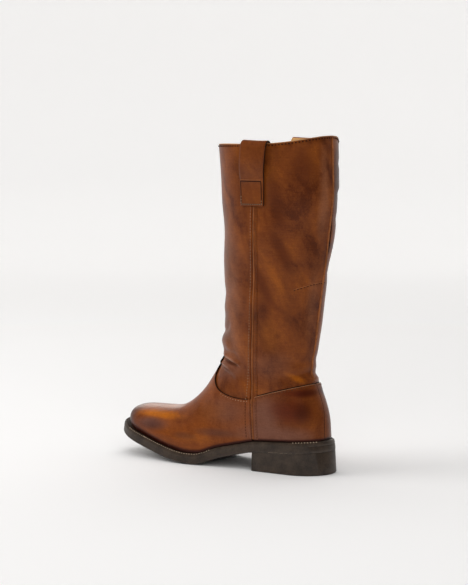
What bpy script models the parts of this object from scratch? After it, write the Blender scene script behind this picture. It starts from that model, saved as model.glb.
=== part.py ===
"""A left mid-calf pull-on boot: leather upper on a stitched rubber sole with a block heel.

Millimetres in the tables and functions, metres in the scene. +Z is up, the toe points to -Y and the
wearer's left, the outer side of this boot, is +X. The boot is drawn from the heel's back forwards and
moved at the end, so that the origin lies on the floor under the middle of its box.
"""

import math

import bmesh
import bpy
import numpy as np
from mathutils import Matrix, Vector

MM = 0.001
GAP = 0.3  # between pieces that touch
OUTER, INNER = 1, -1  # the wearer's left and right

# ---------------------------------------------------------------- driving sizes
FOOT_BACK = 37.5  # y of the upper's lower edge at the heel
FOOT_LENGTH = 264.0  # that edge, heel to toe
HEEL_CAP, HEEL_POWER = 30.0, 2.1  # length and squareness of the round back in plan
TOE_CAP, TOE_POWER = 34.0, 2.5  # the same at the toe
TOE_TIP = FOOT_BACK - FOOT_LENGTH

OUTSOLE_THICK = 7.4
MIDSOLE_THICK = 4.4
INSOLE_THICK = 3.0
WALL = 2.2  # shaft leather and lining together
OVERLAY_THICK = 1.5  # vamp and counter leather
HEEL_FRONT = -37.8  # y of the heel's breast
SEAT_SLOPE = 0.058  # rise of the heel seat towards the back
TREAD_FRONT = -127.0  # the flat under the ball runs from here to the arch's first row
TOE_SPRING, TOE_CURVE = 24.0, 1.2  # rise of the toe, and how late it rises
MARGIN = [(0, 7.0), (0.35, 5.0), (0.6, 7.5), (0.85, 10.6), (1, 13.4)]  # sole beyond the upper, heel to toe

RIB_HALF = 1.2  # half width of the ribs on the seams
SEAM_CLEAR = RIB_HALF + GAP  # from the side seam's middle to the panels beside it
PIPING_HIGH, BACK_SEAM_HIGH = 1.2, 0.9  # how far they stand out
LOOP_WIDE, LOOP_THICK, LOOP_PARTS = 31.0, 2.2, 3
COLLAR_DIP = 5.0  # how far the collar sags between its front and its raised back
COLLAR_FALL = 3.6  # how much lower the collar is on the inner side of its back
SHARP_ANGLE = 40.0  # degrees: edges that turn more stay sharp


# ---------------------------------------------------------------- curves
def columns(names, rows):
    """The rows of a table as one array for each named column."""
    return dict(zip(names.split(), np.array(rows, float).T))


def spline(x, knots, values):
    """Natural cubic curve through the values at the knots, straight beyond its ends."""
    knots, values = np.asarray(knots, float), np.asarray(values, float)
    step = np.diff(knots)
    slope = np.diff(values) / step
    size = len(knots)
    matrix, right = np.eye(size), np.zeros(size)
    for i in range(1, size - 1):
        matrix[i, i - 1 : i + 2] = step[i - 1], 2 * (step[i - 1] + step[i]), step[i]
        right[i] = 6 * (slope[i] - slope[i - 1])
    bend = np.linalg.solve(matrix, right)
    x = np.asarray(x, float)
    inside = np.clip(x, knots[0], knots[-1])
    i = np.clip(np.searchsorted(knots, inside, side="right") - 1, 0, size - 2)
    before, after, h = inside - knots[i], knots[i + 1] - inside, step[i]
    value = (bend[i] * after**3 + bend[i + 1] * before**3) / (6 * h)
    value += (values[i] / h - bend[i] * h / 6) * after
    value += (values[i + 1] / h - bend[i + 1] * h / 6) * before
    first = slope[0] - step[0] * bend[1] / 6
    last = slope[-1] + step[-1] * bend[-2] / 6
    return value + np.minimum(x - knots[0], 0) * first + np.maximum(x - knots[-1], 0) * last


def ease(x):
    """0 to 1 with level ends."""
    x = np.clip(x, 0, 1)
    return x * x * (3 - 2 * x)


# ---------------------------------------------------------------- the sole's lines
ARCH = columns(
    "y under",
    [(-114, 0), (-108, 0.8), (-100, 3.8), (-91, 7.6), (-72, 12.8), (-53, 17.4), (HEEL_FRONT, 21.0)],
)


def sole_under(y):
    """Height of the outsole's underside: toe spring, flat tread, arch, heel seat."""
    y = np.asarray(y, float)
    toe = TOE_SPRING * (np.maximum(TREAD_FRONT - y, 0) / (TREAD_FRONT - TOE_TIP)) ** TOE_CURVE
    arch = spline(np.clip(y, ARCH["y"][0], HEEL_FRONT), ARCH["y"], ARCH["under"])
    return toe + np.maximum(arch, 0) + np.maximum(y - HEEL_FRONT, 0) * SEAT_SLOPE


def midsole_under(y):
    return sole_under(y) + OUTSOLE_THICK + GAP


def rim(y):
    """Height at which the upper's edge stands on the midsole."""
    return midsole_under(y) + MIDSOLE_THICK + GAP


PLAN = columns(
    "from_back centre half",
    [
        (0, 0.0, 26.0),
        (29, 0.0, 28.5),
        (57, 0.7, 29.3),
        (90, 2.3, 29.3),
        (123, 4.2, 30.7),
        (156, 3.7, 35.3),
        (185, 1.9, 38.0),
        (213, -1.0, 36.5),
        (240, -3.7, 34.0),
        (264, -6.0, 31.5),
    ],
)


SWING_LOW, SWING_HIGH = 55.0, 140.0  # heights between which the foot's sideways curve fades out


def swing(y, z=0.0):
    """Sideways place of the centre line: the foot's curve, fading out up the ankle."""
    across = spline(FOOT_BACK - np.asarray(y, float), PLAN["from_back"], PLAN["centre"])
    return across * (1 - ease((np.asarray(z, float) - SWING_LOW) / (SWING_HIGH - SWING_LOW)))


def plan_half(y):
    """Half width of the upper's edge in plan, closed by a round heel and a squared toe."""
    back = np.clip(FOOT_BACK - np.asarray(y, float), 0, FOOT_LENGTH)
    half = spline(back, PLAN["from_back"], PLAN["half"])
    heel = np.clip(1 - back / HEEL_CAP, 0, 1)
    toe = np.clip(1 - (FOOT_LENGTH - back) / TOE_CAP, 0, 1)
    half *= (1 - heel**HEEL_POWER) ** (1 / HEEL_POWER)
    return half * (1 - toe**TOE_POWER) ** (1 / TOE_POWER)


# ---------------------------------------------------------------- the last, as slices
# Each slice is a plane from its low or back point to its high or front point in the side view.
# A height of ON_RIM stands on the sole. wide: half width, beyond the sole's own while the slice
# stands on it. level: where along the slice it is widest. low, high: squareness below and above.
# steps: rows of faces up to the next slice.
ON_RIM = -1
SECTIONS = columns(
    "back_y back_z front_y front_z wide level low high steps",
    [
        (-186, ON_RIM, -226.5, ON_RIM, 0.0, 0.20, 2.0, 2.5, 2),
        (-184, ON_RIM, -226.3, 41, 0.2, 0.26, 2.0, 2.5, 1),
        (-181, ON_RIM, -227.2, 46.5, 0.8, 0.30, 2.0, 2.4, 1),
        (-177, ON_RIM, -225.3, 51.5, 1.5, 0.34, 2.0, 2.3, 2),
        (-166, ON_RIM, -214, 54.5, 2.2, 0.36, 2.0, 2.25, 1),
        (-151, ON_RIM, -197, 55.5, 2.6, 0.38, 2.0, 2.2, 1),
        (-132, ON_RIM, -176, 56.5, 2.8, 0.38, 2.0, 2.2, 2),
        (-109, ON_RIM, -154, 60, 3.0, 0.38, 2.0, 2.15, 4),
        (-83, ON_RIM, -134, 70.5, 2.8, 0.38, 2.1, 2.1, 2),
        (-49, ON_RIM, -117, 87, 2.8, 0.38, 2.2, 2.1, 3),
        (-13, ON_RIM, -104, 107, 3.5, 0.42, 2.3, 2.1, 2),
        (10, ON_RIM, -97.3, 118, 4.5, 0.46, 2.4, 2.1, 2),
        (22, ON_RIM, -96.2, 124, 5.0, 0.49, 2.5, 2.05, 1),
        (30.5, ON_RIM, -97, 130, 5.0, 0.50, 2.6, 2.0, 1),
        (35.7, ON_RIM, -98, 136, 5.0, 0.51, 2.6, 2.0, 1),
        (37.5, ON_RIM, -98, 142, 33.0, 0.52, 2.6, 2.0, 3),
        (34.6, 65, -97, 152, 34.5, 0.52, 2.5, 2.0, 2),
        (25.5, 88, -95.5, 163, 36.0, 0.50, 2.3, 2.0, 2),
        (19.5, 106, -94.5, 176, 37.0, 0.50, 2.1, 2.0, 2),
        (21.2, 130, -94, 190, 38.0, 0.50, 2.1, 2.0, 1),
        (26.7, 168, -94, 216, 41.0, 0.50, 2.1, 2.0, 1),
        (34, 224, -94, 253, 44.0, 0.50, 2.1, 2.0, 2),
        (43.8, 289, -95.6, 306, 47.0, 0.50, 2.2, 2.1, 3),
        (43.5, 372, -99, 362.2, 49.0, 0.50, 2.3, 2.2, 0),
    ],
)
HEEL_ROW = 15  # the slice that leaves the rim at the back of the heel
OVERLAY_ROW = 19  # the slice where the forms that the overlays are cut from end
HEEL_FLARE = 0.12  # how much wider the heel's cup gets above the sole
CUP_FRONT, CUP_REACH, CUP_TOP, CUP_FADE = -45.0, 40.0, 80.0, 40.0  # where the cup's round plan holds
DIP_SHAPE, DIP_REACH = 6.75, 60.0  # makes the collar's sag 1 at its lowest; how far down it fades
FALL_START, FALL_REACH = 0.06, 0.35  # shares of the way to the front where the fall is full, then fades
PARTS = 14  # facets of a half slice
TURN = 0.5  # the share of them below its widest point
RIM_SPREAD, RIM_FADE = 0.8, 110.0  # evens out the facets above the rim, less towards the heel


def slice_places():
    """Distance travelled from slice to slice, averaged over their backs and fronts."""
    back_z = np.where(SECTIONS["back_z"] == ON_RIM, rim(SECTIONS["back_y"]), SECTIONS["back_z"])
    front_z = np.where(SECTIONS["front_z"] == ON_RIM, rim(SECTIONS["front_y"]), SECTIONS["front_z"])
    back = np.hypot(np.diff(SECTIONS["back_y"]), np.diff(back_z))
    front = np.hypot(np.diff(SECTIONS["front_y"]), np.diff(front_z))
    return np.concatenate([[0], np.cumsum((back + front) / 2)])


PLACES = slice_places()
HEEL_PLACE, COLLAR_PLACE = PLACES[HEEL_ROW], PLACES[-1]


def along(name, s):
    return spline(s, PLACES, SECTIONS[name])


def back_profile(z):
    """How far back the boot reaches at height z."""
    heights = np.append(rim(FOOT_BACK), SECTIONS["back_z"][HEEL_ROW + 1 :])
    return spline(z, heights, SECTIONS["back_y"][HEEL_ROW:])


def slice_ends(s):
    """Back point (y, z) and front point (y, z) of the slice at s."""
    on_rim = s <= HEEL_PLACE
    heights = np.append(rim(FOOT_BACK), SECTIONS["back_z"][HEEL_ROW + 1 :])
    free_z = spline(s, PLACES[HEEL_ROW:], heights)
    rim_y = spline(s, PLACES[: HEEL_ROW + 1], SECTIONS["back_y"][: HEEL_ROW + 1])
    back_y = np.where(on_rim, np.minimum(rim_y, FOOT_BACK), back_profile(free_z))
    back_z = np.where(on_rim, rim(back_y), free_z)
    front_z = spline(s, PLACES, np.append(rim(TOE_TIP), SECTIONS["front_z"][1:]))
    return back_y, back_z, along("front_y", s), front_z


def half_slice(s, t):
    """Share of the way to the front, and half width, at t from 0 (rim or back) to 1 (front)."""
    back_y = slice_ends(s)[0]
    foot = np.where(s < HEEL_PLACE, plan_half(back_y), 0.0)
    standing = plan_half(np.minimum(back_y, FOOT_BACK - HEEL_CAP)) + spline(
        s, PLACES[:HEEL_ROW], SECTIONS["wide"][:HEEL_ROW]
    )
    closing = ease((s - PLACES[HEEL_ROW - 2]) / (HEEL_PLACE - PLACES[HEEL_ROW - 2]))
    free = spline(s, PLACES[HEEL_ROW:], SECTIONS["wide"][HEEL_ROW:])
    wide = np.where(s < HEEL_PLACE, standing * (1 - closing) + SECTIONS["wide"][HEEL_ROW] * closing, free)
    level, low, high = along("level", s), along("low", s), along("high", s)
    start = RIM_SPREAD * ease((HEEL_PLACE - s) / RIM_FADE)
    a = start + (math.pi / 2 - start) * np.clip(t / TURN, 0, 1)
    b = math.pi / 2 * np.clip((t - TURN) / (1 - TURN), 0, 1)
    fall = np.clip(np.cos(a) / np.cos(start), 0, 1)
    above = np.sin(b) ** (2 / high)
    share = np.where(t < TURN, level * (1 - fall ** (2 / low)), level + (1 - level) * above)
    footing = np.clip(foot / wide, 0, 1) ** low
    below = np.clip(1 - (1 - footing) * fall**2, 0, 1) ** (1 / low)
    width = np.where(t < TURN, below, np.clip(np.cos(b), 0, 1) ** (2 / high))
    return share, wide * width


def bare_point(s, t, side):
    """Point of the upper's outer surface."""
    back_y, back_z, front_y, front_z = slice_ends(s)
    share, width = half_slice(s, t)
    y = back_y + share * (front_y - back_y)
    z = back_z + share * (front_z - back_z)
    dip = COLLAR_DIP * DIP_SHAPE * share * (1 - share) ** 2  # deepest a third of the way to the front
    fall = COLLAR_FALL * ease(share / FALL_START) * (1 - ease((share - FALL_START) / FALL_REACH))
    z = z - (dip + fall * (side == INNER)) * ease((s - COLLAR_PLACE) / DIP_REACH + 1)
    lying = np.clip(1 - s / PLACES[1], 0, 1)  # the first slice lies along the edge round the toe
    width = width * (1 - lying) + plan_half(y) * lying
    z = z * (1 - lying) + rim(y) * lying
    cup = plan_half(y + FOOT_BACK - back_profile(z)) * (1 + HEEL_FLARE * ease((z - 30) / 60))
    cupped = ease((y - CUP_FRONT) / CUP_REACH) * (1 - ease((z - CUP_TOP) / CUP_FADE))
    width = width * (1 - cupped) + cup * cupped
    return np.stack([swing(y, z) + side * width, y, z], axis=-1)


def surface(s, t, side, offset=0.0):
    """Point of the outer surface moved outwards by offset."""
    s, t = np.broadcast_arrays(np.asarray(s, float), np.asarray(t, float))
    offset = np.broadcast_to(offset, s.shape)
    point = bare_point(s, t, side)
    near_s, near_t = 0.02, 0.0005
    t_low, t_high = np.clip(t - near_t, 0, 1), np.clip(t + near_t, 0, 1)
    s_low, s_high = np.clip(s - near_s, 0, COLLAR_PLACE), np.clip(s + near_s, 0, COLLAR_PLACE)
    across = bare_point(s, t_high, side) - bare_point(s, t_low, side)
    onwards = bare_point(s_high, t, side) - bare_point(s_low, t, side)
    normal = np.cross(onwards, across) * side
    on_edge = ((t <= 0) & (s <= HEEL_PLACE)) | (s <= 0)
    middle = (t >= 1) | ((t <= 0) & (s >= HEEL_PLACE))
    normal[..., 0] = np.where(middle, 0, normal[..., 0])
    normal[..., 2] = np.where(on_edge, 0, normal[..., 2])
    normal /= np.linalg.norm(normal, axis=-1, keepdims=True)
    point = point + offset[..., None] * normal
    standing = np.where(s <= HEEL_PLACE, rim(point[..., 1]), 0)
    point[..., 2] = np.where(on_edge, standing, np.maximum(point[..., 2], standing))
    return point


# ---------------------------------------------------------------- lines drawn on the upper
SEAM = columns(
    "z y",
    [(30, -38.5), (57, -37.5), (82, -37.5), (113, -38), (147, -36), (192, -33.5), (295, -29.7), (370, -28)],
)
VAMP_TOP = columns(
    "y z",
    [
        (-36, 81),
        (-51, 79.3),
        (-62, 80),
        (-74, 82),
        (-86, 86),
        (-94.5, 92.5),
        (-99.5, 102),
        (-99, 111),
        (-96.5, 117),
        (-95.5, 121),
        (-97, 124),
        (-103, 126),
    ],
)
COUNTER_TOP = columns("y z", [(-40, 81.5), (-20, 87.5), (0, 93), (20, 98), (32, 100)])
SEAM_STEPS = (10, 30, 50, 70)  # heights of the outlines' corners along the side seam
BEYOND_TOE, BEHIND_HEEL = -270.0, 60.0


def seam_y(z):
    return spline(z, SEAM["z"], SEAM["y"])


def drawn(line, count):
    """A smooth curve of count points through a table's (y, z) rows."""
    steps = np.hypot(np.diff(line["y"]), np.diff(line["z"]))
    travelled = np.concatenate([[0], np.cumsum(steps)])
    places = np.linspace(0, travelled[-1], count)
    return list(zip(spline(places, travelled, line["y"]), spline(places, travelled, line["z"])))


def vamp_outline():
    """Side view of the vamp: up the seam, along its top line and round in front of the toe."""
    ahead = [(seam_y(z) - SEAM_CLEAR, z) for z in SEAM_STEPS]
    corner = (seam_y(VAMP_TOP["z"][0]) - SEAM_CLEAR, VAMP_TOP["z"][0])
    top = [point for point in drawn(VAMP_TOP, 33) if point[0] < corner[0]]
    return ahead + [corner] + top + [(BEYOND_TOE, VAMP_TOP["z"][-1] + 2), (BEYOND_TOE, SEAM_STEPS[0])]


def counter_outline():
    """Side view of the counter: up the seam and back along its top line."""
    behind = [(seam_y(z) + SEAM_CLEAR, z) for z in SEAM_STEPS]
    corner = (seam_y(COUNTER_TOP["z"][0]) + SEAM_CLEAR, COUNTER_TOP["z"][0] + 1)
    top = [point for point in drawn(COUNTER_TOP, 11) if point[0] > corner[0]]
    return behind + [corner] + top + [(BEHIND_HEEL, COUNTER_TOP["z"][-1] + 4), (BEHIND_HEEL, SEAM_STEPS[0])]


def locate(y, z):
    """The s and t of the surface point at (y, z) in the side view."""
    low, high = PLACES[1], COLLAR_PLACE
    for _ in range(40):
        s = (low + high) / 2
        back_y, back_z, front_y, front_z = slice_ends(s)
        if (z - back_z) * (back_y - front_y) > (back_y - y) * (front_z - back_z):
            low = s
        else:
            high = s
    t = np.linspace(0, 1, 801)
    return s, np.interp((back_y - y) / (back_y - front_y), half_slice(s, t)[0], t)


def stations():
    """Where the upper's rows lie: each slice's steps, evenly spread to the next slice."""
    places = []
    for start, end, steps in zip(PLACES, PLACES[1:], SECTIONS["steps"].astype(int)):
        places += [start + (end - start) * i / steps for i in range(steps)]
    return np.array(places + [COLLAR_PLACE])


STATIONS = stations()


# ---------------------------------------------------------------- mesh helpers
def clear_scene():
    for obj in list(bpy.data.objects):
        bpy.data.objects.remove(obj)


def material(name, colour, rough):
    made = bpy.data.materials.new(name)
    made.use_nodes = True
    shader = made.node_tree.nodes["Principled BSDF"]
    shader.inputs["Base Color"].default_value = (*colour, 1)
    shader.inputs["Roughness"].default_value = rough
    return made


def grid_faces(bm, rows, guide=None):
    """Triangle pairs between rows of points in millimetres, each split along guide's shorter diagonal."""
    guide = np.array(rows if guide is None else guide)
    verts = [[bm.verts.new(Vector(p) * MM) for p in row] for row in rows]
    for j, (low, high) in enumerate(zip(verts, verts[1:])):
        for i in range(len(low) - 1):
            rising = np.linalg.norm(guide[j, i] - guide[j + 1, i + 1])
            falling = np.linalg.norm(guide[j, i + 1] - guide[j + 1, i])
            if rising < falling + 0.01:
                bm.faces.new((low[i], low[i + 1], high[i + 1]))
                bm.faces.new((low[i], high[i + 1], high[i]))
            else:
                bm.faces.new((low[i], low[i + 1], high[i]))
                bm.faces.new((low[i + 1], high[i + 1], high[i]))


def finish(name, bm, look):
    """Merge, point the faces outwards and make the object."""
    bmesh.ops.remove_doubles(bm, verts=bm.verts, dist=1e-6)
    bmesh.ops.dissolve_degenerate(bm, edges=bm.edges, dist=1e-7)
    bmesh.ops.recalc_face_normals(bm, faces=bm.faces)
    mesh = bpy.data.meshes.new(name)
    bm.to_mesh(mesh)
    bm.free()
    mesh.shade_smooth()
    mesh.set_sharp_from_angle(angle=math.radians(SHARP_ANGLE))
    if look:
        mesh.materials.append(look)
    obj = bpy.data.objects.new(name, mesh)
    bpy.context.scene.collection.objects.link(obj)
    return obj


# ---------------------------------------------------------------- sole
RIBS = 50


def plan_point(u, side, margin):
    """Point of the plan outline, margin outside the upper's edge. u runs from heel (0) to toe (1)."""

    def edge(v):
        y = FOOT_BACK - FOOT_LENGTH * (1 - math.cos(math.pi * v)) / 2
        return np.array([swing(y) + side * plan_half(y), y])

    if u in (0, 1):
        normal = np.array([0, 1 - 2 * u])
    else:
        d = edge(min(u + 1e-3, 1)) - edge(max(u - 1e-3, 0))
        normal = side * np.array([-d[1], d[0]]) / np.hypot(*d)
    return edge(u) + margin * normal


def rim_margin(u):
    """How far the sole stands out beyond the upper, from heel (0) to toe (1)."""
    places, margins = zip(*MARGIN)
    return float(spline(u, places, margins))


def plate(name, look, profile, bottom, margin=rim_margin, front=None):
    """A sole layer. Its side follows profile, rows of (inward, height at y), as far as front."""
    bm = bmesh.new()
    rows = []
    for i in range(RIBS + 1):
        u = i / RIBS
        rib = []
        for side in (OUTER, INNER):
            chain = []
            for inward, up in profile:
                x, y = plan_point(u, side, margin(u) - inward)
                chain.append((x, y, bottom(y, up)))
            rib += chain if side == OUTER else chain[::-1]
        rows.append(rib + rib[:1])
    grid_faces(bm, rows)
    if front is not None:
        bmesh.ops.remove_doubles(bm, verts=bm.verts, dist=1e-6)
        everything = bm.verts[:] + bm.edges[:] + bm.faces[:]
        bmesh.ops.bisect_plane(
            bm, geom=everything, plane_co=(0, front * MM, 0), plane_no=(0, -1, 0), clear_outer=True
        )
        bmesh.ops.holes_fill(bm, edges=[edge for edge in bm.edges if edge.is_boundary], sides=0)
    return finish(name, bm, look)


def make_outsole(look):
    profile = [(4.0, 0), (0.6, 0.8), (0.1, 2.0), (0.8, OUTSOLE_THICK)]
    return plate("outsole", look, profile, lambda y, up: sole_under(y) + up)


def make_midsole(look):
    profile = [(1.0, 0), (0.8, 0.4), (1.5, MIDSOLE_THICK - 1.3), (3.4, MIDSOLE_THICK)]
    return plate("midsole", look, profile, lambda y, up: midsole_under(y) + up)


def make_heel(look):
    """Stacked block, flaring a little to the floor. Its profile heights are shares of its own height."""
    profile = [(0.2, 0), (-0.6, 0.04), (0.7, 1)]
    return plate("heel", look, profile, lambda y, up: up * (sole_under(y) - GAP), front=HEEL_FRONT)


def make_insole(look):
    profile = [(0, 0), (0, INSOLE_THICK)]
    return plate("insole", look, profile, lambda y, up: rim(y) + up, margin=lambda u: -WALL - 0.8)


# ---------------------------------------------------------------- upper and its overlays
EVEN = np.arange(PARTS + 1) / PARTS


def rows_over(places, offset):
    """Rows of points from the outer side over the top to the inner side, at the given slices."""
    rows = []
    for s in places:
        outer, inner = surface(s, EVEN, OUTER, offset), surface(s, EVEN, INNER, offset)
        rows.append(np.concatenate([outer, inner[-2::-1]]))
    return rows


def shell(name, look, places, low, high):
    """Closed wall between two offsets of the upper's surface, open at the sole and at the top."""
    bm = bmesh.new()
    guide = rows_over(places, 0.0)
    skins = [rows_over(places, offset) for offset in (low, high)]
    for rows in skins:
        grid_faces(bm, rows, guide)
    heel = int(np.searchsorted(places, HEEL_PLACE - 0.01)) + 1
    outer_side = [[rows[j][0] for j in range(heel)] for rows in skins]
    inner_side = [[rows[j][-1] for j in range(heel)] for rows in skins]
    for pair in (outer_side, inner_side, [rows[0] for rows in skins], [rows[-1] for rows in skins]):
        grid_faces(bm, pair)
    return finish(name, bm, look)


CUTTER_REACH = 80.0  # half the cutting slabs' width


def cutter(name, outline):
    """A slab across the boot with the outline's side view."""
    bm = bmesh.new()
    face = bm.faces.new([bm.verts.new((-CUTTER_REACH * MM, y * MM, z * MM)) for y, z in outline])
    side = bmesh.ops.extrude_face_region(bm, geom=[face])["geom"]
    corners = [item for item in side if isinstance(item, bmesh.types.BMVert)]
    bmesh.ops.translate(bm, verts=corners, vec=(2 * CUTTER_REACH * MM, 0, 0))
    obj = finish(name, bm, None)
    obj.hide_render = True
    obj.display_type = "WIRE"
    return obj


def make_overlay(name, look, outline):
    """A panel lying on the upper: a shell just outside it, cut to the outline."""
    places = STATIONS[STATIONS < PLACES[OVERLAY_ROW] + 0.1]
    obj = shell(name, look, places, GAP, GAP + OVERLAY_THICK)
    cut = obj.modifiers.new("outline", "BOOLEAN")
    cut.operation = "INTERSECT"
    cut.object = cutter(name + "_outline", outline)
    return obj


def make_upper(look):
    return shell("upper", look, STATIONS, -WALL, 0.0)


def frame_at(s, t, side):
    """A surface point with its outward normal."""
    point = surface(s, t, side)
    normal = surface(s, t, side, 1.0) - point
    return point, normal / np.linalg.norm(normal)


def rib(name, look, path):
    """A raised seam along path, whose rows are (point, outward normal, direction along it, height)."""
    profile = [(-1, 0), (-0.65, 1), (0.65, 1), (1, 0)]
    bm = bmesh.new()
    rows = []
    for point, normal, onwards, high in path:
        beside = np.cross(normal, onwards)
        beside /= np.linalg.norm(beside)
        row = [point + beside * RIB_HALF * x + normal * (GAP + high * up) for x, up in profile]
        rows.append(row + row[:1])
    grid_faces(bm, rows)
    bmesh.ops.remove_doubles(bm, verts=bm.verts, dist=1e-6)
    bmesh.ops.holes_fill(bm, edges=[edge for edge in bm.edges if edge.is_boundary], sides=0)
    return finish(name, bm, look)


PIPING_DROP = 12.0  # the piping sinks to the shaft's level over this height above the vamp
PIPING_ROWS, PIPING_SECOND = 24, 10.0  # rows above the first, and how far over the sole they start


def make_piping(name, look, side):
    """Side seam: from the sole between vamp and counter, up the shaft to the pull loop."""
    foot = float(rim(seam_y(SEAM["z"][0])))
    first = foot + GAP
    above_vamp = VAMP_TOP["z"][0] - 1
    top = LOOP_SQUARE["z"][0] - GAP
    path = []
    for z in np.concatenate([[first], np.linspace(foot + PIPING_SECOND, top, PIPING_ROWS)]):
        point, normal = frame_at(*locate(seam_y(z), z), side)
        if z == first:
            normal = normal * (1, 1, 0)
        beside_panels = OVERLAY_THICK * (1 - ease((z - above_vamp) / PIPING_DROP))
        path.append((point, normal, (0, 0, 1), PIPING_HIGH + beside_panels))
    return rib(name, look, path)


BACK_SEAM_FOOT = 104.0


def make_back_seam(name, look):
    """Back seam: up the middle of the back from the counter to the collar."""
    start = locate(back_profile(BACK_SEAM_FOOT), BACK_SEAM_FOOT)[0]
    path = []
    for s in np.linspace(start, COLLAR_PLACE - 0.5, 22):
        point, normal = frame_at(s, 0.0, OUTER)
        path.append((point, normal, (0, 0, 1), BACK_SEAM_HIGH))
    return rib(name, look, path)


# The strap's middle: clear of the shaft's outer face, lean towards the back, and height.
# The stitched square's heights are above the floor, the strap's above the collar.
LOOP_SQUARE = columns(
    "clear lean z",
    [(1.4, 0, 295.5), (1.4, 0, 309), (1.4, 0, 323), (3.9, 1.0, 330), (6.6, 2.4, 338)],
)
LOOP_STRAP = columns("clear lean up", [(7.8, 4.0, -14), (7.8, 5.0, -3)])
LOOP_INSIDE = columns(
    "clear lean up",
    [(-5.8, 5.5, -6), (-5.8, 5.5, -19), (-5.8, 5.5, -32), (-5.8, 5.5, -45)],
)
LOOP_TOP = {OUTER: 7.6, INNER: 8.7}  # how far the bend's middle stands over the collar
LOOP_BEND = 7  # rows in the bend
SEAM_END = 330.0  # above this height the strap runs straight up


def loop_path(top, high):
    """Rows of (clear, lean, z) along the strap, whose bend over the collar is a half circle."""
    rows = list(zip(LOOP_SQUARE["clear"], LOOP_SQUARE["lean"], LOOP_SQUARE["z"]))
    rows += list(zip(LOOP_STRAP["clear"], LOOP_STRAP["lean"], LOOP_STRAP["up"] + top))
    out, into = LOOP_STRAP["clear"][-1], LOOP_INSIDE["clear"][0]
    radius = (out - into) / 2
    for turn in np.linspace(0, math.pi, LOOP_BEND):
        rise = radius * math.sin(turn) + high - radius
        rows.append(((out + into) / 2 + radius * math.cos(turn), LOOP_INSIDE["lean"][0], top + rise))
    rows += list(zip(LOOP_INSIDE["clear"], LOOP_INSIDE["lean"], LOOP_INSIDE["up"] + top))
    return np.array(rows)


def collar_z(y):
    edge = bare_point(COLLAR_PLACE, np.linspace(0, 1, 201), OUTER)
    return np.interp(-y, -edge[:, 1], edge[:, 2])


def make_loop(name, look, side):
    """Pull loop: stitched square outside, finger gap, over the collar and down inside."""
    outward, inward = [], []
    for across in LOOP_WIDE / 2 * np.linspace(-1, 1, LOOP_PARTS + 1):
        path = loop_path(collar_z(seam_y(360) + across), LOOP_TOP[side])
        turns = np.arctan2(np.gradient(path[:, 2]), np.gradient(path[:, 0])) - math.pi / 2
        edges = {1: [], -1: []}
        for (clear, lean, z), turn in zip(path, turns):
            y = seam_y(min(z, SEAM_END)) + across + lean
            base = min(z, collar_z(y) - 1)
            point, normal = frame_at(*locate(y, base), side)
            normal = normal * (1, 1, 0)
            normal /= np.linalg.norm(normal)
            for face in edges:
                reach = clear + face * LOOP_THICK / 2 * math.cos(turn)
                lift = z - base + face * LOOP_THICK / 2 * math.sin(turn)
                edges[face].append(point + normal * reach + np.array([0, 0, lift]))
        outward.append(edges[1])
        inward.append(edges[-1])
    bm = bmesh.new()
    grid_faces(bm, outward)
    grid_faces(bm, inward)
    for pair in ([outward[0], inward[0]], [outward[-1], inward[-1]]):
        grid_faces(bm, pair)
    for end in (0, -1):
        grid_faces(bm, [[edge[end] for edge in outward], [edge[end] for edge in inward]])
    return finish(name, bm, look)


def centre_on_floor():
    """Move every piece so that the origin lies under the middle of the box."""
    shown = [obj.data for obj in bpy.data.objects if not obj.hide_render]
    corners = np.array([vert.co for mesh in shown for vert in mesh.vertices])
    low, high = corners.min(axis=0), corners.max(axis=0)
    shift = Vector((-(low[0] + high[0]) / 2, -(low[1] + high[1]) / 2, -low[2]))
    for obj in bpy.data.objects:
        obj.data.transform(Matrix.Translation(shift))


LEATHER, RUBBER, LINING = (0.25, 0.1, 0.04), (0.05, 0.035, 0.03), (0.6, 0.4, 0.2)


def main():
    clear_scene()
    make_outsole(material("outsole_rubber", RUBBER, 0.65))
    make_midsole(material("welt_rubber", RUBBER, 0.6))
    make_heel(material("heel_rubber", RUBBER, 0.62))
    make_insole(material("insole_lining", LINING, 0.7))
    make_upper(material("upper_leather", LEATHER, 0.4))
    make_overlay("vamp", material("vamp_leather", LEATHER, 0.35), vamp_outline())
    make_overlay("counter", material("counter_leather", LEATHER, 0.38), counter_outline())
    make_back_seam("back_seam", material("back_seam_leather", LEATHER, 0.42))
    for name, side in (("outer", OUTER), ("inner", INNER)):
        make_piping("piping_" + name, material("piping_leather_" + name, LEATHER, 0.42), side)
        make_loop("pull_loop_" + name, material("loop_leather_" + name, LEATHER, 0.4), side)
    centre_on_floor()


main()
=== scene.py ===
"""Looks of a tall left pull-on boot in burnished tan leather on a stitched dark rubber sole.

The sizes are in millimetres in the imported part's own frame: +Z up, the toe at -Y, +X the outer side.
Each section makes one piece, or one group of like pieces.
"""

import math

import bmesh
import bpy
import numpy as np
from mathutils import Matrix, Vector
from mathutils.bvhtree import BVHTree


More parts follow.
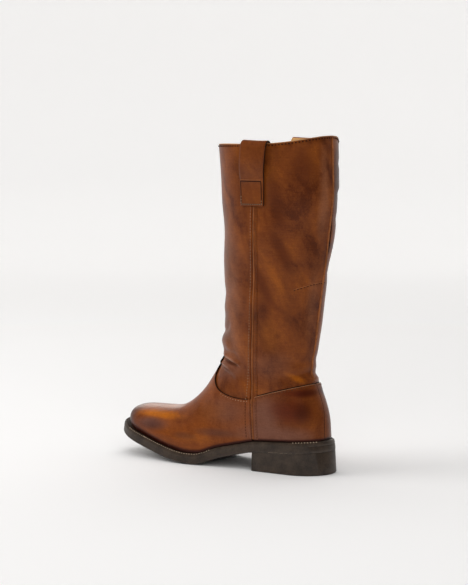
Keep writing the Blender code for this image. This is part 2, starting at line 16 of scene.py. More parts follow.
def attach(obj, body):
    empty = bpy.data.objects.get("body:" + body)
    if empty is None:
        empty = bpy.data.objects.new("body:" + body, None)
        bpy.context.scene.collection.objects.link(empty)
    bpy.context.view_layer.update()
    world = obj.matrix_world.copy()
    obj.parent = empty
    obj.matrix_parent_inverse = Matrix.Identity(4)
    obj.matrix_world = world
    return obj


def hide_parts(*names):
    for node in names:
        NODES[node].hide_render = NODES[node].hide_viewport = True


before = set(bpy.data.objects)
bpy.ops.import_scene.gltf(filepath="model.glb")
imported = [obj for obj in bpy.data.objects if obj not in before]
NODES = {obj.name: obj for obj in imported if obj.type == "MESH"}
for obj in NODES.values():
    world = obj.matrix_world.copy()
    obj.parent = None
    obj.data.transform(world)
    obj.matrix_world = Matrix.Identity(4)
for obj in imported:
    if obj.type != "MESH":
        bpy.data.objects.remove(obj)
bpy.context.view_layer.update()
MM = 0.001

# ---------------------------------------------------------------- leather and rubber
# The boot's surface is one burnished tan leather: an orange-brown stain that is rubbed darker at the
# toe, the heel and the seams, in soft slanting clouds. Painted highlights and shade lie on the ankle's
# folds, and painted shade along the panels' lower edge by the welt. All colours are linear.
DEEP = (0.095, 0.02, 0.004)
STAIN = (0.165, 0.041, 0.008)
WARM = (0.27, 0.074, 0.009)
PALE = (0.22, 0.085, 0.042)
# near black brown: real burnish at the toe and heel, and painted shade in the ankle's crease and along the
# lower edge by the welt
BURNISH_AND_SHADE = (0.035, 0.006, 0.003)
VIOLET = (0.12, 0.05, 0.036)
GLOW = (0.42, 0.115, 0.006)
RED = (0.095, 0.014, 0.003)
DUSK = (0.06, 0.028, 0.022)
ROSE = (0.17, 0.07, 0.045)
FOLD_HIGHLIGHT = (0.34, 0.17, 0.11)
# Rubbed and burnished places, and painted highlights and shade on the ankle's folds, alike on both sides:
# middle, reach each way, the degrees that the top leans towards the toe, colour and strength.
PATCHES = [
    ((25, -72, 51), (15, 42, 5), 0, GLOW, 1.0),  # top of the toes
    ((22, -124, 44), (30, 18, 18), 0, DUSK, 1.0),  # toe tip
    ((6, -126, 56), (24, 12, 7), 0, DUSK, 0.8),
    ((38, -84, 41), (14, 26, 8), 0, VIOLET, 0.95),
    ((40, -76, 40), (10, 14, 5), 0, BURNISH_AND_SHADE, 0.35),
    ((36, 20, 66), (14, 36, 18), 0, ROSE, 0.55),
    ((38, -30, 60), (14, 40, 12), 0, DEEP, 0.2),
    ((40, -14, 30), (12, 30, 5), 0, WARM, 0.5),
    ((36, 0, 62), (14, 26, 13), 0, WARM, 0.35),
    ((38, 12, 39), (10, 30, 5), 0, DUSK, 0.5),
    ((40, -32, 32), (12, 16, 4), 0, DUSK, 0.45),
    ((33, 90, 42), (20, 60, 12), 0, ROSE, 0.8),  # counter
    ((34, 76, 64), (16, 20, 22), 0, ROSE, 0.8),
    ((26, 102, 71), (18, 25, 16), 0, RED, 1.0),
    ((22, 117, 69), (12, 11, 13), 0, BURNISH_AND_SHADE, 0.6),
    ((20, 110, 90), (20, 28, 5), 0, RED, 1.0),
    ((18, 119, 90), (20, 10, 5), 0, BURNISH_AND_SHADE, 0.6),
    ((23, 106, 107), (14, 13, 3), -30, GLOW, 0.45),  # above the counter
    ((23, 113, 103), (14, 8, 3), -30, GLOW, 0.35),
    ((36, 82, 152), (10, 14, 28), 10, WARM, 0.6),  # shaft
    ((36, 86, 228), (10, 6, 44), 26, WARM, 0.45),
    ((38, 98, 250), (9, 7, 40), 26, DEEP, 0.95),
    ((40, 76, 210), (9, 7, 34), 26, DEEP, 0.9),
    ((38, 76, 180), (9, 10, 16), 0, DEEP, 0.6),
    ((42, 96, 297), (10, 9, 34), 10, DEEP, 1.0),
    ((33, 122, 338), (14, 14, 24), 0, DEEP, 0.8),
    ((34, 112, 172), (12, 10, 22), 0, DEEP, 0.5),
    ((13, 136, 310), (7, 9, 60), 0, PALE, 0.6),
    ((14, 126, 165), (8, 9, 60), 0, PALE, 0.6),
    ((45, 52, 345), (8, 14, 22), 0, WARM, 0.35),
    ((44, 78, 330), (8, 20, 12), 0, WARM, 0.35),
    ((30, 22, 215), (20, 24, 120), 0, PALE, 0.5),
    ((26, 22, 104), (20, 18, 16), 0, DEEP, 0.4),
    ((22, 124, 150), (12, 8, 50), 0, WARM, 0.45),
    ((34, 84, 120), (16, 30, 16), 0, ROSE, 0.4),  # ankle
    ((28, 22, 112), (20, 20, 14), 0, ROSE, 0.45),
    # painted highlights on the ridges of the ankle's folds, with painted shade in the crease between them
    ((30, 20, 122.5), (20, 12, 1.8), -14, FOLD_HIGHLIGHT, 0.7),
    ((30, 18, 118.2), (20, 11, 1.7), -14, BURNISH_AND_SHADE, 0.55),
    ((30, 13, 113.2), (20, 10, 1.8), -14, FOLD_HIGHLIGHT, 0.5),
]
# At the inner side of the back, not folded to the other side: painted shade high up, where it turns away
# from the light, and a paler patch lower down.
LONE_PATCHES = [
    ((-14, 132, 315), (13, 22, 50), 0, DUSK, 0.9),
    ((-14, 130, 190), (13, 22, 60), 0, PALE, 0.6),
]
SLANT = 26.0  # degrees that the clouds in the leather lean
BUMP_STRENGTH = 0.6


class Socket:
    """An output of a node tree that can be used like a number, or like a colour through mix()."""

    def __init__(self, tree, out):
        self.tree, self.out = tree, out

    def make(self, kind, settings=None, values=None, output=0):
        """Any other node of this tree, with its settings and what feeds its inputs."""
        node = self.tree.nodes.new(kind)
        for name, value in (settings or {}).items():
            setattr(node, name, value)
        for name, value in (values or {}).items():
            if isinstance(value, Socket):
                self.tree.links.new(value.out, node.inputs[name])
            else:
                node.inputs[name].default_value = value
        return Socket(self.tree, node.outputs[output])

    def math(self, operation, *others):
        values = dict(enumerate((self, *others)))
        return self.make("ShaderNodeMath", {"operation": operation}, values)

    def __add__(self, other):
        return self.math("ADD", other)

    def __sub__(self, other):
        return self.math("SUBTRACT", other)

    def __mul__(self, other):
        return self.math("MULTIPLY", other)

    def ramp(self, low, high):
        """0 at low to 1 at high with soft ends; low may be above high."""
        span = {"Value": self, "From Min": low, "From Max": high}
        return self.make("ShaderNodeMapRange", {"interpolation_type": "SMOOTHSTEP"}, span)

    def mix(self, first, second):
        """first where this is 0, second where it is 1, for colours."""
        values = {"Factor": self, 6: rgba(first), 7: rgba(second)}
        return self.make("ShaderNodeMix", {"data_type": "RGBA"}, values, output=2)


def rgba(colour):
    return colour if isinstance(colour, Socket) else (*colour, 1)


def start_material(name):
    """An empty procedural material, its position in the boot's frame and its shader."""
    made = bpy.data.materials.new(name)
    made.use_nodes = True
    tree = made.node_tree
    shader = tree.nodes["Principled BSDF"]
    place = Socket(tree, tree.nodes.new("ShaderNodeTexCoord").outputs["Object"])
    return made, place, shader


def noise(place, size, stretch=(1, 1, 1), detail=3.0, rough=0.55, warp=0.0):
    """Cloudy 0 to 1 noise whose features are about size millimetres, longer where stretch is over 1."""
    scaled = place.make(
        "ShaderNodeVectorMath",
        {"operation": "MULTIPLY"},
        {0: place, 1: tuple(1 / (size * MM * s) for s in stretch)},
    )
    values = {"Vector": scaled, "Scale": 1.0, "Detail": detail, "Roughness": rough, "Distortion": warp}
    return place.make("ShaderNodeTexNoise", {"noise_dimensions": "3D"}, values)


def patch(place, middle, reach, slant=0.0):
    """1 at the middle of an ellipsoid, fading to 0 at its edge; slant leans its top to the toe."""
    shifted = place.make(
        "ShaderNodeVectorMath",
        {"operation": "SUBTRACT"},
        {0: place, 1: tuple(c * MM for c in middle)},
    )
    if slant:
        turned = {"Vector": shifted, "Angle": math.radians(-slant)}
        shifted = place.make("ShaderNodeVectorRotate", {"rotation_type": "X_AXIS"}, turned)
    scaled = place.make(
        "ShaderNodeVectorMath",
        {"operation": "DIVIDE"},
        {0: shifted, 1: tuple(c * MM for c in reach)},
    )
    length = place.make("ShaderNodeVectorMath", {"operation": "LENGTH"}, {0: scaled}, output=1)
    return length.ramp(1.6, 0.1)


def feed(shader, **values):
    """Colour, roughness and the like into the shader, by socket name with _ for a space."""
    for name, value in values.items():
        target = shader.inputs[name.replace("_", " ")]
        if isinstance(value, Socket):
            value.tree.links.new(value.out, target)
        else:
            target.default_value = value


def bumped(height, distance):
    """A normal from a height of 0 to 1 that stands for distance millimetres."""
    values = {"Height": height, "Distance": distance * MM, "Strength": BUMP_STRENGTH}
    return height.make("ShaderNodeBump", {}, values)


def mirrored(place):
    """The place with both sides of the boot folded onto the outer one."""
    split = place.tree.nodes.new("ShaderNodeSeparateXYZ")
    place.tree.links.new(place.out, split.inputs[0])
    across = Socket(place.tree, split.outputs[0]).math("ABSOLUTE")
    along, up = Socket(place.tree, split.outputs[1]), Socket(place.tree, split.outputs[2])
    return place.make("ShaderNodeCombineXYZ", {}, {"X": across, "Y": along, "Z": up})


def leather(name, shade=1.0, cloudy=1.0):
    """Burnished leather; shade under 1 is darker, cloudy under 1 more even."""
    made, place, shader = start_material(name)
    folded = mirrored(place)
    turned = {"Vector": place, "Angle": math.radians(-SLANT)}
    leaning = place.make("ShaderNodeVectorRotate", {"rotation_type": "X_AXIS"}, turned)
    cloud = noise(leaning, 24, (1, 1, 2), detail=4, warp=0.6)
    mottle = noise(place, 7, (1, 1, 1.3), detail=5, rough=0.65, warp=0.5)
    fleck = noise(place, 1.6, detail=4, rough=0.75)
    tone = (cloud - 0.5) * (0.62 * cloudy) + mottle * 0.22 + fleck * 0.16 + 0.31
    deep, stain, warm = (tuple(c * shade for c in colour) for colour in (DEEP, STAIN, WARM))
    colour = tone.ramp(0.36, 0.52).mix(deep, stain)
    colour = (tone.ramp(0.5, 0.66) * 0.55).mix(colour, warm)
    spots = [(folded, spot) for spot in PATCHES] + [(place, spot) for spot in LONE_PATCHES]
    ragged = mottle * 0.5 + cloud * 0.7 + fleck * 0.4 - 0.8
    for where, (middle, reach, slant, tint, strength) in spots:
        near = patch(where, middle, reach, slant)
        amount = (near + near.ramp(0, 0.5) * ragged * 0.8).ramp(0.0, 1.15) * strength
        colour = amount.mix(colour, tint)
    spotted = noise(place, 3.0, detail=4, rough=0.7).ramp(0.58, 0.78) * 0.2
    colour = spotted.mix(colour, deep)
    # Darker towards the lower edge of the vamp and counter, by their edge attribute: painted shade where the
    # leather turns under to the welt.
    edge = place.make("ShaderNodeAttribute", {"attribute_name": "edge"}, output=2)
    colour = (edge + fleck * 0.3 - 0.15).ramp(0.1, 0.7).mix(colour, BURNISH_AND_SHADE)
    ripple = noise(place, 1.5, (8, 8, 1), detail=3, warp=0.3)
    uneven = fleck.ramp(0.3, 0.7) * 0.18 + ripple.ramp(0.3, 0.7) * 0.14
    uneven = uneven + cloud.ramp(0.3, 0.7) * (0.2 * cloudy) + (0.84 - 0.1 * cloudy)
    colour = place.make("ShaderNodeVectorMath", {"operation": "SCALE"}, {0: colour, "Scale": uneven})
    grain = noise(place, 0.9, detail=2) * 0.5 + noise(place, 3.2, detail=3) * 0.5
    feed(
        shader,
        Base_Color=colour,
        Roughness=tone * 0.2 + fleck * 0.12 + 0.17,
        Specular_IOR_Level=0.12,
        Coat_Weight=0.02,
        Coat_Roughness=0.15,
        Normal=bumped(grain + ripple * 0.7, 0.3),
    )
    return made


def plain(name, colour, rough, size=2.0, vary=0.35, bump=0.05, shine=0.5):
    """A single-coloured stuff, such as rubber, lining or thread, with a little cloud and grain."""
    made, place, shader = start_material(name)
    cloud = noise(place, size * 8, detail=4)
    grain = noise(place, size, detail=3)
    amount = cloud * 0.6 + grain * 0.4
    low, high = tuple(c * (1 - vary) for c in colour), tuple(c * (1 + vary) for c in colour)
    feed(
        shader,
        Base_Color=amount.ramp(0.3, 0.7).mix(low, high),
        Roughness=grain * 0.2 + (rough - 0.1),
        Specular_IOR_Level=shine,
        Normal=bumped(grain, bump),
    )
    return made


UPPER_LEATHER = leather("upper_leather")
VAMP_LEATHER = leather("vamp_leather", 1.2, 0.5)
COUNTER_LEATHER = leather("counter_leather", 0.92, 0.5)
LOOP_LEATHER = leather("loop_leather", 0.95, 0.6)
TRIM_LEATHER = leather("trim_leather")
LAP_LEATHER = leather("lap_leather", 0.92)
# Paler leather for raised ridges and folds: a painted highlight where they catch the light.
LIT_RIDGE_LEATHER = plain("lit_ridge_leather", (0.27, 0.09, 0.03), 0.5, size=4, vary=0.3, shine=0.12)
LINING = plain("lining", (0.52, 0.27, 0.095), 0.6, size=3)
# Near black: the paint on cut edges, and painted shade in the strips above the counter and beside the back
# ridge.
EDGE_PAINT_AND_SHADE = plain("edge_paint_and_shade", (0.016, 0.006, 0.003), 0.6, shine=0.1)
# The counter's raw top edge, made paler as a painted highlight where it catches the light from above.
PALE_LIT_EDGE = plain("pale_lit_edge", (0.3, 0.14, 0.07), 0.6, shine=0.2)
RAW_EDGE = plain("raw_edge", (0.42, 0.22, 0.1), 0.7)
THREAD = plain("thread", (0.4, 0.25, 0.15), 0.7, shine=0.2)
WELT_THREAD = plain("welt_thread", (0.62, 0.47, 0.33), 0.6)
DARK_THREAD = plain("dark_thread", (0.03, 0.01, 0.005), 0.7, shine=0.1)
BROWN_THREAD = plain("brown_thread", (0.075, 0.027, 0.012), 0.7, shine=0.2)
RUBBER = plain("rubber", (0.038, 0.025, 0.0165), 0.55, size=1.4, vary=0.5, bump=0.15)
WELT_RUBBER = plain("welt_rubber", (0.042, 0.028, 0.0185), 0.52, size=1.4, vary=0.5, bump=0.15)
JOINT_HIGHLIGHT = plain("joint_highlight_rubber", (0.1, 0.075, 0.055), 0.7, size=3, vary=0.6)
# near black: painted shadow in the gap where the leather meets the welt
WELT_SHADOW = plain("shadow_strip", (0.012, 0.004, 0.002), 0.6, shine=0.1)
SHADED_WELT_TOP = plain("shaded_welt_top", (0.02, 0.01, 0.006), 0.65, shine=0.15)


# ---------------------------------------------------------------- the upper
# Shaft, throat and foot cover in one, of burnished leather: a fine skin over the imported upper, creased
# where the ankle bends, then given its wall of leather with a tan lining behind.
WALL = 2.2
FINE = 2  # levels of subdivision
SHARP = 50  # degrees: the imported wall's rims turn more than this
DOUBLES = 1e-5  # metres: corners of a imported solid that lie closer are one
UPPER_FLAT, ANY_SHAPE = 0.7, 3.1  # radians: triangles meeting flatter are joined, to faces of any shape
# Soft troughs (depth over 0) and ridges (under 0) seen from the side: from (y, z) to (y, z), bowed
# by sag at the middle, half width, and the sides they cross: 1 outer, -1 inner, 0 both.
CREASES = [
    # (y, z), (y, z), sag, depth, half width, side
    ((8, 125.8), (36, 118.6), 0.0, -2.0, 2.2, 0),
    ((7, 121.6), (34, 115.8), 0.0, 3.2, 1.8, 0),
    ((2, 116), (26, 110), 0.5, -2.0, 2.6, 0),
    ((6, 109.5), (30, 101.5), 0.5, 0.9, 3.4, 0),
    ((-6, 141), (22, 138), 1.0, -1.7, 6.5, 0),
    ((-4, 152), (22, 160), -3.0, 1.2, 4.0, 0),
    ((8, 131), (34, 128), 0.0, 0.9, 3.0, 0),
    ((124, 116), (98, 107), -2.0, 1.6, 4.0, 0),
    ((126, 129), (100, 126), -3.0, 1.0, 5.5, 0),
    ((122, 108), (104, 101), -1.0, -0.9, 3.0, 0),
    ((0, 196), (34, 207), -3.0, 1.0, 6.0, 0),
    ((2, 180), (28, 188), -3.0, -0.8, 6.0, 0),
    ((128, 226), (96, 214), -2.0, 1.0, 6.0, 0),
    ((76, 262), (104, 196), 3.0, -0.7, 8.0, 0),
    ((92, 268), (120, 222), 3.0, 0.7, 8.0, 0),
    ((116, 352), (146, 336), 0.0, 0.8, 3.0, -1),
    ((112, 334), (144, 312), 0.0, -0.8, 3.5, -1),
    ((114, 322), (146, 300), 0.0, 0.8, 3.5, -1),
    ((112, 292), (142, 276), 0.0, 0.7, 3.5, -1),
    ((-14, 64), (6, 52), -5.0, 0.8, 9.0, 0),
    ((6, 70), (28, 52), -5.0, 0.7, 9.0, 0),
]
RUN_OUT, FADE = 0.25, 0.45  # shares of a crease's length: its run past each end, and where it fades
# Slow waves that keep the tall shaft from being a perfect tube: wavelength along z and y, height.
SHAFT_WAVES = [(88, 130, 0.7), (53, 61, 0.35)]
WAVES_FROM, WAVES_GROW = 120, 90  # z where they start, and the height over which they grow
WAVES_TO, WAVES_FADE = 352, 60  # z where they end, and the height over which they fade
SIDE_SHIFT = 1.3  # radians that the waves are shifted by on each side
THROAT_REAR, THROAT_LOW, THROAT_HIGH = 62, 84, 166  # y, z, z: round the folds that need a finer mesh


def crease_depth(points):
    """How far each point (millimetres) is pressed in."""
    y, z, side = points[:, 1], points[:, 2], np.sign(points[:, 0])
    depth = np.zeros(len(points))
    for (y0, z0), (y1, z1), sag, deep, half, which in CREASES:
        run = np.array([y1 - y0, z1 - z0], float)
        length = np.hypot(*run)
        run /= length
        along = ((y - y0) * run[0] + (z - z0) * run[1]) / length
        off = (z - z0) * run[0] - (y - y0) * run[1] - sag * 4 * along * (1 - along) * np.sign(run[0])
        fade = np.clip(np.minimum(along + RUN_OUT, 1 + RUN_OUT - along) / FADE, 0, 1)
        wanted = np.where((which == 0) | (side == which), 1.0, 0.0)
        depth += wanted * deep * fade * fade * (3 - 2 * fade) * np.exp(-((off / half) ** 2))
    rising = np.clip((z - WAVES_FROM) / WAVES_GROW, 0, 1) * np.clip((WAVES_TO - z) / WAVES_FADE, 0, 1)
    for high, deep, tall in SHAFT_WAVES:
        upwards = np.sin(2 * math.pi * z / high + side * SIDE_SHIFT)
        depth += tall * rising * upwards * np.cos(2 * math.pi * y / deep)
    return depth


def new_object(name, bm, *looks):
    mesh = bpy.data.meshes.new(name)
    bm.to_mesh(mesh)
    bm.free()
    mesh.shade_smooth()
    for look in looks:
        mesh.materials.append(look)
    obj = bpy.data.objects.new(name, mesh)
    bpy.context.scene.collection.objects.link(obj)
    return obj


def packed_mesh(node, flat=None):
    """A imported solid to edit; triangles that meet flatter than flat radians are joined."""
    bm = bmesh.new()
    bm.from_mesh(NODES[node].data)
    bmesh.ops.remove_doubles(bm, verts=bm.verts, dist=DOUBLES)
    if flat is not None:
        angles = {"angle_face_threshold": flat, "angle_shape_threshold": ANY_SHAPE}
        bmesh.ops.join_triangles(bm, faces=bm.faces, **angles)
    return bm


def applied(obj):
    """The object with its modifiers made permanent."""
    graph = bpy.context.evaluated_depsgraph_get()
    mesh = bpy.data.meshes.new_from_object(obj.evaluated_get(graph), depsgraph=graph)
    obj.modifiers.clear()
    obj.data = mesh
    return obj


def subdivide(obj):
    smooth = obj.modifiers.new("fine", "SUBSURF")
    smooth.levels = smooth.render_levels = FINE
    return obj


def in_throat(middle):
    """Where the folds are sharp enough to need a finer mesh."""
    return middle.y < THROAT_REAR and THROAT_LOW < middle.z < THROAT_HIGH


def outer_skin():
    """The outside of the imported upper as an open, fine and creased sheet."""
    bm = packed_mesh("upper", UPPER_FLAT)
    first = max(bm.faces, key=lambda face: face.calc_center_median().y)
    outside, todo = {first}, [first]
    while todo:
        for edge in todo.pop().edges:
            if edge.calc_face_angle(0) < math.radians(SHARP):
                fresh = [face for face in edge.link_faces if face not in outside]
                outside.update(fresh)
                todo += fresh
    inside = [face for face in bm.faces if face not in outside]
    bmesh.ops.delete(bm, geom=inside, context="FACES")
    obj = applied(subdivide(new_object("skin", bm)))
    mesh = obj.data
    bm = bmesh.new()
    bm.from_mesh(mesh)
    folded = [face for face in bm.faces if in_throat(face.calc_center_median() / MM)]
    edges = list({edge for face in folded for edge in face.edges})
    bmesh.ops.subdivide_edges(bm, edges=edges, cuts=1, use_grid_fill=True)
    bm.to_mesh(mesh)
    bm.free()
    mesh.shade_smooth()
    points = np.array([vert.co for vert in mesh.vertices]) / MM
    normals = np.array([vert.normal for vert in mesh.vertices])
    pressed = points - normals * crease_depth(points)[:, None]
    mesh.vertices.foreach_set("co", (pressed * MM).ravel())
    mesh.update()
    return obj


def thickened(obj, thick, offset, inner=0, rim=0):
    """A wall on the sheet: offset 1 outwards, -1 inwards; inner and rim are material slots further on."""
    wall = obj.modifiers.new("wall", "SOLIDIFY")
    wall.thickness = thick * MM
    wall.offset = offset
    wall.use_even_offset = False
    wall.material_offset = inner
    wall.material_offset_rim = rim
    return obj


def ray_target(obj):
    """The object's surface, for rays that look for points on it."""
    mesh = obj.data
    return BVHTree.FromPolygons([v.co for v in mesh.vertices], [p.vertices for p in mesh.polygons])


skin = outer_skin()
SKIN = ray_target(skin)


def boundary(top):
    """The skin's open edge at the collar or at the sole, as points in millimetres in order."""
    bm = bmesh.new()
    bm.from_mesh(skin.data)
    edges = {edge for edge in bm.edges if edge.is_boundary}
    start = (max if top else min)((edge.verts[0] for edge in edges), key=lambda vert: vert.co.z)
    loop = [start]
    while True:
        ahead = [edge for edge in loop[-1].link_edges if edge in edges]
        if not ahead:
            break
        edges.discard(ahead[0])
        loop.append(ahead[0].other_vert(loop[-1]))
    points = np.array([vert.co for vert in loop[:-1]]) / MM
    bm.free()
    return points


COLLAR, FOOTLINE = boundary(True), boundary(False)
upper = skin.copy()
upper.data = skin.data.copy()
upper.name = "leather_upper"
for look in (UPPER_LEATHER, LINING, RAW_EDGE):
    upper.data.materials.append(look)
bpy.context.scene.collection.objects.link(upper)
applied(thickened(upper, WALL, -1, inner=1, rim=2))
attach(upper, "root")
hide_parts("upper")

# ---------------------------------------------------------------- vamp and counter
# Two panels of thicker leather lying on the foot. Each is the skin again, a leather's thickness
# further out, cut along its drawn edge; the cut edge is painted dark.
THICK, GAP = 1.5, 0.3
# The side seam and the panels' top edges as they are drawn from the side.
SEAM = [
    # z, y
    (30, 58.2),
    (57, 59.2),
    (82, 59.2),
    (113, 58.7),
    (147, 60.7),
    (192, 63.2),
    (295, 67.0),
    (370, 68.7),
]
VAMP_TOP = [
    # y, z
    (60.7, 81),
    (45.7, 79.3),
    (34.7, 80),
    (22.7, 82),
    (10.7, 86),
    (2.2, 92.5),
    (-2.8, 102),
    (-2.3, 111),
    (0.4, 116),
    (1.8, 119.6),
    (0.0, 122.4),
    (-6.3, 124.3),
]
COUNTER_TOP = [(56.7, 81.5), (76.7, 87.5), (96.7, 93), (116.7, 98), (128.7, 100)]  # y, z
BETWEEN = 24  # steps of a smooth curve between two of its points
HALF_SEAM = 1.5  # from the side seam's middle to the panels beside it
SEAM_CORNERS = (5, 30, 55)  # heights of the outlines' corners along the side seam
VAMP_CORNER, COUNTER_CORNER = 80.5, 82  # height of each outline's highest corner there
PAST_TOE, VAMP_ABOVE = -170, 127  # y, z of the vamp's outline beyond the toe
PAST_HEEL, COUNTER_ABOVE = 160, 104  # y, z of the counter's outline beyond the heel
PANEL_TOP = 135.0  # the panels' sheet ends above their highest point
SLAB_HALF = 0.09  # metres: half the width of the slab that cuts a panel out
PANEL_SHARP = 40  # degrees: the panels' edges that turn more stay sharp
WELT_SHADE_HEIGHTS = [(-130, 13.0), (-60, 8.0), (0, 6.0), (60, 4.5), (140, 4.5)]  # y, height of the dark lower edge


def curve(points, count):
    """count points evenly along a smooth curve through the given ones."""
    points = np.array(points, float)
    ends = np.vstack([2 * points[0] - points[1], points, 2 * points[-1] - points[-2]])
    fine = []
    for i in range(1, len(ends) - 2):
        a, b, c, d = ends[i - 1 : i + 3]
        for t in np.linspace(0, 1, BETWEEN, endpoint=False):
            straight = 2 * b + (c - a) * t
            bend = (2 * a - 5 * b + 4 * c - d) * t**2
            fine.append(0.5 * (straight + bend + (3 * b - a - 3 * c + d) * t**3))
    fine = np.array(fine + [points[-1]])
    travelled = np.concatenate([[0], np.cumsum(np.linalg.norm(np.diff(fine, axis=0), axis=1))])
    places = np.linspace(0, travelled[-1], count)
    return np.stack([np.interp(places, travelled, column) for column in fine.T], axis=1)


def seam_y(z):
    return np.interp(z, [row[0] for row in SEAM], [row[1] for row in SEAM])


def panel(name, outline, look):
    """The skin's part inside outline, a leather's thickness further out."""
    bm = bmesh.new()
    bm.from_mesh(skin.data)
    above = [face for face in bm.faces if face.calc_center_median().z > PANEL_TOP * MM]
    bmesh.ops.delete(bm, geom=above, context="FACES")
    for vert in bm.verts:
        vert.co += vert.normal * GAP * MM
    sheet = new_object(name, bm, look, EDGE_PAINT_AND_SHADE)
    thickened(sheet, THICK, 1, rim=1)
    bm = bmesh.new()
    corners = [bm.verts.new((-SLAB_HALF, y * MM, z * MM)) for y, z in outline]
    side = bm.faces.new(corners)
    moved = bmesh.ops.extrude_face_region(bm, geom=[side])["geom"]
    fresh = [item for item in moved if isinstance(item, bmesh.types.BMVert)]
    bmesh.ops.translate(bm, verts=fresh, vec=(2 * SLAB_HALF, 0, 0))
    bmesh.ops.recalc_face_normals(bm, faces=bm.faces)
    slab = new_object(name + "_slab", bm, EDGE_PAINT_AND_SHADE)
    cut = sheet.modifiers.new("outline", "BOOLEAN")
    cut.operation = "INTERSECT"
    cut.object = slab
    cut.solver = "EXACT"
    cut.material_mode = "TRANSFER"
    applied(sheet)
    bpy.data.objects.remove(slab)
    sheet.data.shade_smooth()
    sheet.data.set_sharp_from_angle(angle=math.radians(PANEL_SHARP))
    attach(sheet, "root")
    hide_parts(name)
    return sheet


vamp_edge = [(y, z) for y, z in curve(VAMP_TOP, 90) if y < seam_y(z) - HALF_SEAM]
vamp_outline = [(seam_y(z) - HALF_SEAM, z) for z in (*SEAM_CORNERS, VAMP_CORNER)] + vamp_edge
vamp_outline += [(PAST_TOE, VAMP_ABOVE), (PAST_TOE, SEAM_CORNERS[0])]
counter_edge = [(y, z) for y, z in curve(COUNTER_TOP, 40) if y > seam_y(z) + HALF_SEAM]
counter_outline = [(seam_y(z) + HALF_SEAM, z) for z in (*SEAM_CORNERS, COUNTER_CORNER)] + counter_edge
counter_outline += [(PAST_HEEL, COUNTER_ABOVE), (PAST_HEEL, SEAM_CORNERS[0])]
# The edge attribute is 1 at the panels' lower edge and fades upwards; it drives painted shade where the
# leather turns under to the welt.
low_y, low_z = np.array(sorted((y, z) for x, y, z in FOOTLINE if x > 0)).T
for sheet in (panel("vamp", vamp_outline, VAMP_LEATHER), panel("counter", counter_outline, COUNTER_LEATHER)):
    points = np.array([vert.co for vert in sheet.data.vertices]) / MM
    high = np.interp(points[:, 1], *np.array(WELT_SHADE_HEIGHTS).T)
    near = 1 - (points[:, 2] - np.interp(points[:, 1], low_y, low_z)) / high
    edge = sheet.data.attributes.new("edge", "FLOAT", "POINT")
    edge.data.foreach_set("value", np.clip(near, 0, 1))

# ---------------------------------------------------------------- side seams
# From the pull loop to the sole: a row of pale stitches, a low fold, a dark groove, a raised edge in
# paler leather that is a painted highlight, and a darker lapped strip that is stitched down along its rear
# edge. On the foot the stitches turn dark and the groove is filled. Strips of leather and stitches of thread
# follow the skin.
LIFT = GAP + THICK  # from the skin to the panels' outside
SIDES = (("outer", 1), ("inner", -1))
SIDE_START, BACK_START = 0.2, 0.25  # metres from the middle, outside the boot, where rays start
STRIP_SHARP = 50  # degrees: a strip's edges that turn more stay sharp
STITCH_LIFT, STITCH_AIM = 0.15, 0.6  # stitches stand up by the first; the second gives their direction


def on_side(y, z, side, lift=0.0):
    """Point on the leather at (y, z) seen from the side, lifted by lift, and its outward normal."""
    start = Vector((SIDE_START * side, y * MM, z * MM))
    point, normal = SKIN.ray_cast(start, Vector((-side, 0, 0)))[:2]
    if point is None:
        point, normal = SKIN.find_nearest(Vector((MM * side, y * MM, z * MM)))[:2]
    if normal.x * side < 0:
        normal = -normal
    return np.array(point) / MM + np.array(normal) * lift, np.array(normal)


def on_back(x, z, lift=0.0):
    """The same seen from behind, at (x, z)."""
    point, normal = SKIN.ray_cast(Vector((x * MM, BACK_START, z * MM)), Vector((0, -1, 0)))[:2]
    if normal.y < 0:
        normal = -normal
    return np.array(point) / MM + np.array(normal) * lift, np.array(normal)


def strip(name, path, profile, look, closed=False):
    """Sweeps a closed profile of (across, up) along path, rows of (point, normal)."""
    points = np.array([row[0] for row in path])
    normals = np.array([row[1] for row in path])
    if closed:
        onwards = np.roll(points, -1, axis=0) - np.roll(points, 1, axis=0)
    else:
        onwards = np.gradient(points, axis=0)
    across = np.cross(normals, onwards)
    across /= np.linalg.norm(across, axis=1, keepdims=True)
    rings = [[points[i] + across[i] * a + normals[i] * u for a, u in profile] for i in range(len(points))]
    bm = bmesh.new()
    ring = [bm.verts.new(Vector(p) * MM) for p in rings[0]]
    edges = [bm.edges.new((a, b)) for a, b in zip(ring, ring[1:] + ring[:1])]
    first = list(edges)
    for corners in rings[1:]:
        moved = bmesh.ops.extrude_edge_only(bm, edges=edges)["geom"]
        fresh = [item for item in moved if isinstance(item, bmesh.types.BMVert)]
        edges = [item for item in moved if isinstance(item, bmesh.types.BMEdge) and item.is_boundary]
        for vert, corner in zip(fresh, corners):
            vert.co = Vector(corner) * MM
    if closed:
        bmesh.ops.bridge_loops(bm, edges=first + edges)
    else:
        bmesh.ops.holes_fill(bm, edges=[edge for edge in bm.edges if edge.is_boundary], sides=0)
    bmesh.ops.recalc_face_normals(bm, faces=bm.faces)
    obj = new_object(name, bm, look)
    obj.data.set_sharp_from_angle(angle=math.radians(STRIP_SHARP))
    return obj


def rounded(half, high, foot):
    """A half-round profile of that half width, from foot (under 0 is sunk) up to high."""
    turns = np.linspace(0, math.pi, 7)
    return [(half * math.cos(t), foot + (high - foot) * math.sin(t)) for t in turns]


